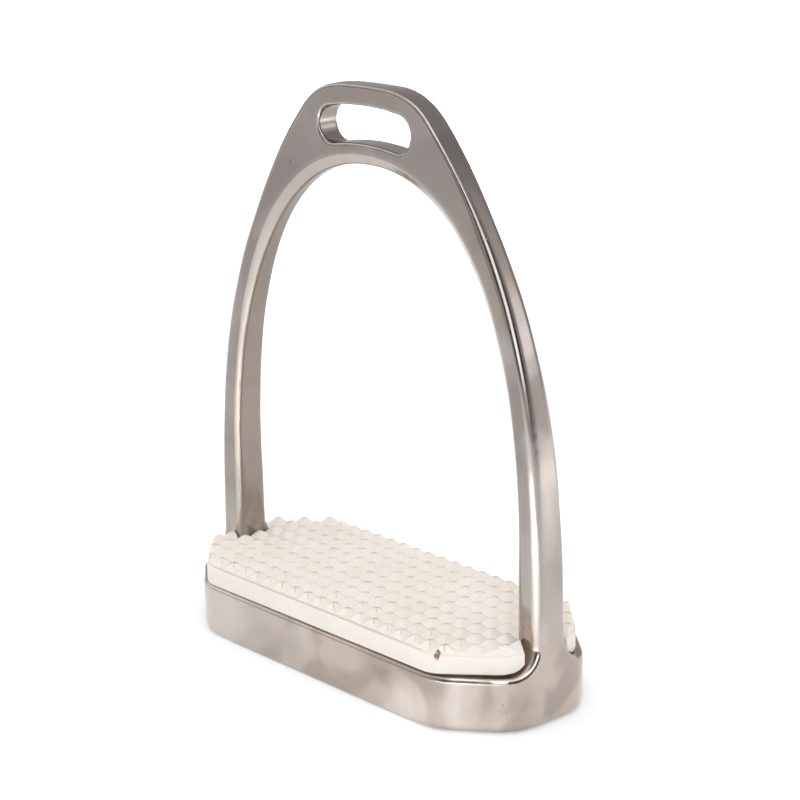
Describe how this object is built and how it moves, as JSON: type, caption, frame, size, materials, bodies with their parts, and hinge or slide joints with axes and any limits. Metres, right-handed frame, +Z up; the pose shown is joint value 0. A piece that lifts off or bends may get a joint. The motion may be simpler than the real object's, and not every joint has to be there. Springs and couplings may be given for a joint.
{
  "type": "stirrup iron",
  "caption": "Cast stainless stirrup iron with an arched pair of branches, a leather slot at the top and a lift-out studded rubber tread in its base.",
  "frame": {"origin": "under the middle of the base, on the surface that the iron stands on", "axes": "+X across the foot from branch to branch, +Y towards the heel side, +Z up towards the leather slot"},
  "size_m": [0.117, 0.046, 0.1412],
  "materials": {
    "stainless": "polished cast stainless steel, softly reflective, lightly worn",
    "tread_rubber": "cream-white moulded rubber, matt, slightly soiled"
  },
  "bodies": {
    "iron_body": {"iron": "stainless"},
    "tread_body": {"tread": "tread_rubber"}
  },
  "joints": [
    {"name": "tread_lift", "type": "slide", "parent": "iron_body", "child": "tread_body", "axis": [0, 0, 1], "range_m": [0, 0.012]}
  ]
}
